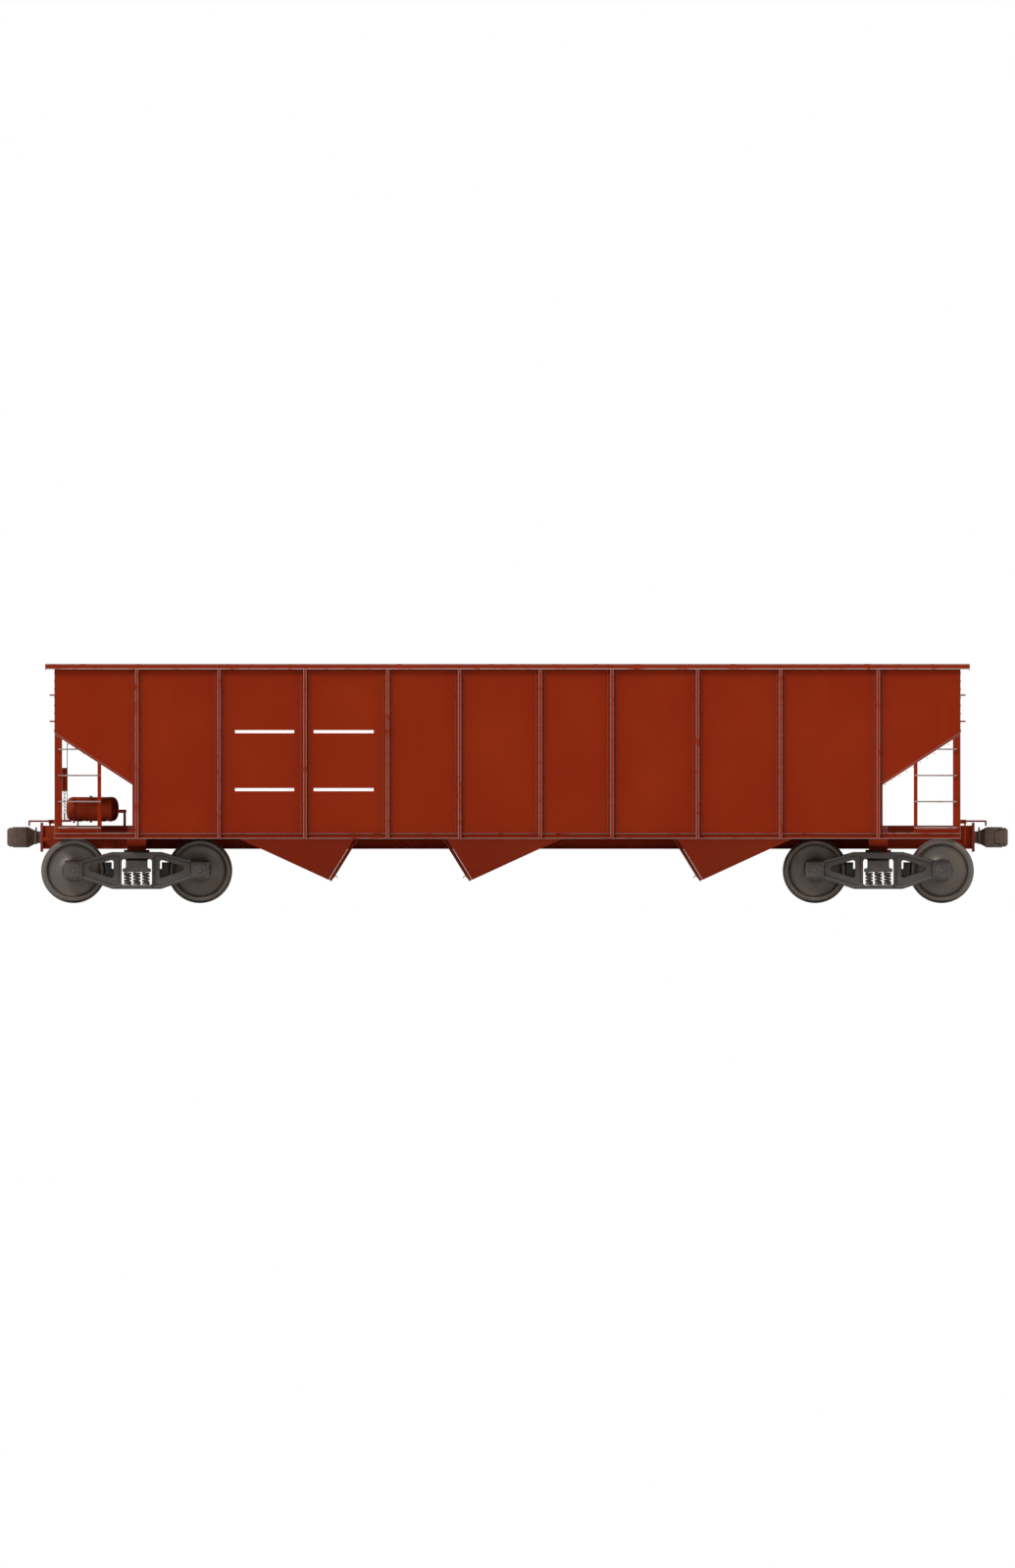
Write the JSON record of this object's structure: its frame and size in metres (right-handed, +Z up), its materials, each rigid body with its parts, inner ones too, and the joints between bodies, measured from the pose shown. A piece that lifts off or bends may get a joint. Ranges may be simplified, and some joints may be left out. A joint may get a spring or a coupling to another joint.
{
  "type": "open hopper wagon",
  "caption": "Open-top steel hopper rail wagon with ribbed sides, sloped ends, bottom outlet doors, knuckle couplers and two four-wheel trucks.",
  "frame": {"origin": "middle of the wagon's footprint, on the floor under the wheel flanges", "axes": "+X along the wagon towards end b, +Z up"},
  "size_m": [13.688, 3.15, 3.2739],
  "materials": {
    "body_paint": "flat mineral-red paint",
    "underframe_paint": "flat mineral-red paint",
    "load_sheets": "flat mineral-red paint, scoured",
    "truck_castings": "black-painted cast steel",
    "coupler_casting": "bare cast steel",
    "brake_gear_paint": "flat mineral-red paint",
    "spring_steel": "oiled spring steel",
    "axle_steel": "machined steel",
    "wheel_steel": "rolled steel, bright tread"
  },
  "bodies": {
    "car_body": {"center_sill": "underframe_paint", "sill_hood": "load_sheets", "side_sheet_left": "body_paint", "side_sheet_right": "body_paint", "side_posts_left": "body_paint", "side_posts_right": "body_paint", "side_sills": "body_paint", "top_chords": "body_paint", "end_caps": "body_paint", "end_sheets": "body_paint", "slope_sheet_a": "load_sheets", "slope_sheet_b": "load_sheets", "cross_ridge_a": "load_sheets", "cross_ridge_b": "load_sheets", "hopper_chute_1": "underframe_paint", "hopper_chute_2": "underframe_paint", "hopper_chute_3": "underframe_paint", "end_sills": "body_paint", "body_bolsters": "underframe_paint", "end_posts": "body_paint", "side_ladders": "body_paint", "end_rungs": "body_paint", "brake_platform": "body_paint", "hand_brake": "body_paint", "brake_cylinder": "brake_gear_paint", "air_reservoir": "brake_gear_paint", "control_valve": "brake_gear_paint", "train_pipe": "brake_gear_paint", "uncoupling_levers": "body_paint", "strikers": "underframe_paint"},
    "door_pair_1": {"hopper_door_1": "underframe_paint"},
    "door_pair_2": {"hopper_door_2": "underframe_paint"},
    "door_pair_3": {"hopper_door_3": "underframe_paint"},
    "coupler_a": {"coupler_a": "coupler_casting"},
    "knuckle_a": {"knuckle_a": "coupler_casting"},
    "truck_a": {"truck_bolster_a": "truck_castings", "side_frames_a": "truck_castings", "spring_groups_a": "spring_steel", "brake_beams_a": "truck_castings"},
    "coupler_b": {"coupler_b": "coupler_casting"},
    "knuckle_b": {"knuckle_b": "coupler_casting"},
    "truck_b": {"truck_bolster_b": "truck_castings", "side_frames_b": "truck_castings", "spring_groups_b": "spring_steel", "brake_beams_b": "truck_castings"},
    "wheelset_1": {"axle_1": "axle_steel", "wheels_1": "wheel_steel"},
    "wheelset_2": {"axle_2": "axle_steel", "wheels_2": "wheel_steel"},
    "wheelset_3": {"axle_3": "axle_steel", "wheels_3": "wheel_steel"},
    "wheelset_4": {"axle_4": "axle_steel", "wheels_4": "wheel_steel"}
  },
  "joints": [
    {"name": "truck_a_swivel", "type": "hinge", "parent": "car_body", "child": "truck_a", "pos_m": [-5.07, 0, 0.68], "axis": [0, 0, 1], "range_deg": [-6, 6]},
    {"name": "truck_b_swivel", "type": "hinge", "parent": "car_body", "child": "truck_b", "pos_m": [5.07, 0, 0.68], "axis": [0, 0, 1], "range_deg": [-6, 6]},
    {"name": "wheelset_1_spin", "type": "hinge", "parent": "truck_a", "child": "wheelset_1", "pos_m": [-5.9335, 0, 0.444], "axis": [0, 1, 0], "continuous": true},
    {"name": "wheelset_2_spin", "type": "hinge", "parent": "truck_a", "child": "wheelset_2", "pos_m": [-4.2065, 0, 0.444], "axis": [0, 1, 0], "continuous": true},
    {"name": "wheelset_3_spin", "type": "hinge", "parent": "truck_b", "child": "wheelset_3", "pos_m": [4.2065, 0, 0.444], "axis": [0, 1, 0], "continuous": true},
    {"name": "wheelset_4_spin", "type": "hinge", "parent": "truck_b", "child": "wheelset_4", "pos_m": [5.9335, 0, 0.444], "axis": [0, 1, 0], "continuous": true},
    {"name": "door_pair_1_hinge", "type": "hinge", "parent": "car_body", "child": "door_pair_1", "pos_m": [-2.08518, 0, 0.83813], "axis": [0, -1, 0], "range_deg": [0, 60]},
    {"name": "door_pair_2_hinge", "type": "hinge", "parent": "car_body", "child": "door_pair_2", "pos_m": [-0.84428, 0, 0.83813], "axis": [0, 1, 0], "range_deg": [0, 60]},
    {"name": "door_pair_3_hinge", "type": "hinge", "parent": "car_body", "child": "door_pair_3", "pos_m": [2.30718, 0, 0.83813], "axis": [0, 1, 0], "range_deg": [0, 60]},
    {"name": "coupler_a_swing", "type": "hinge", "parent": "car_body", "child": "coupler_a", "pos_m": [-5.78, 0, 0.901], "axis": [0, 0, 1], "range_deg": [-6, 6]},
    {"name": "knuckle_a_open", "type": "hinge", "parent": "coupler_a", "child": "knuckle_a", "pos_m": [-6.685, 0.105, 0.901], "axis": [0, 0, -1], "range_deg": [0, 45]},
    {"name": "coupler_b_swing", "type": "hinge", "parent": "car_body", "child": "coupler_b", "pos_m": [5.78, 0, 0.901], "axis": [0, 0, 1], "range_deg": [-6, 6]},
    {"name": "knuckle_b_open", "type": "hinge", "parent": "coupler_b", "child": "knuckle_b", "pos_m": [6.685, -0.105, 0.901], "axis": [0, 0, -1], "range_deg": [0, 45]}
  ]
}
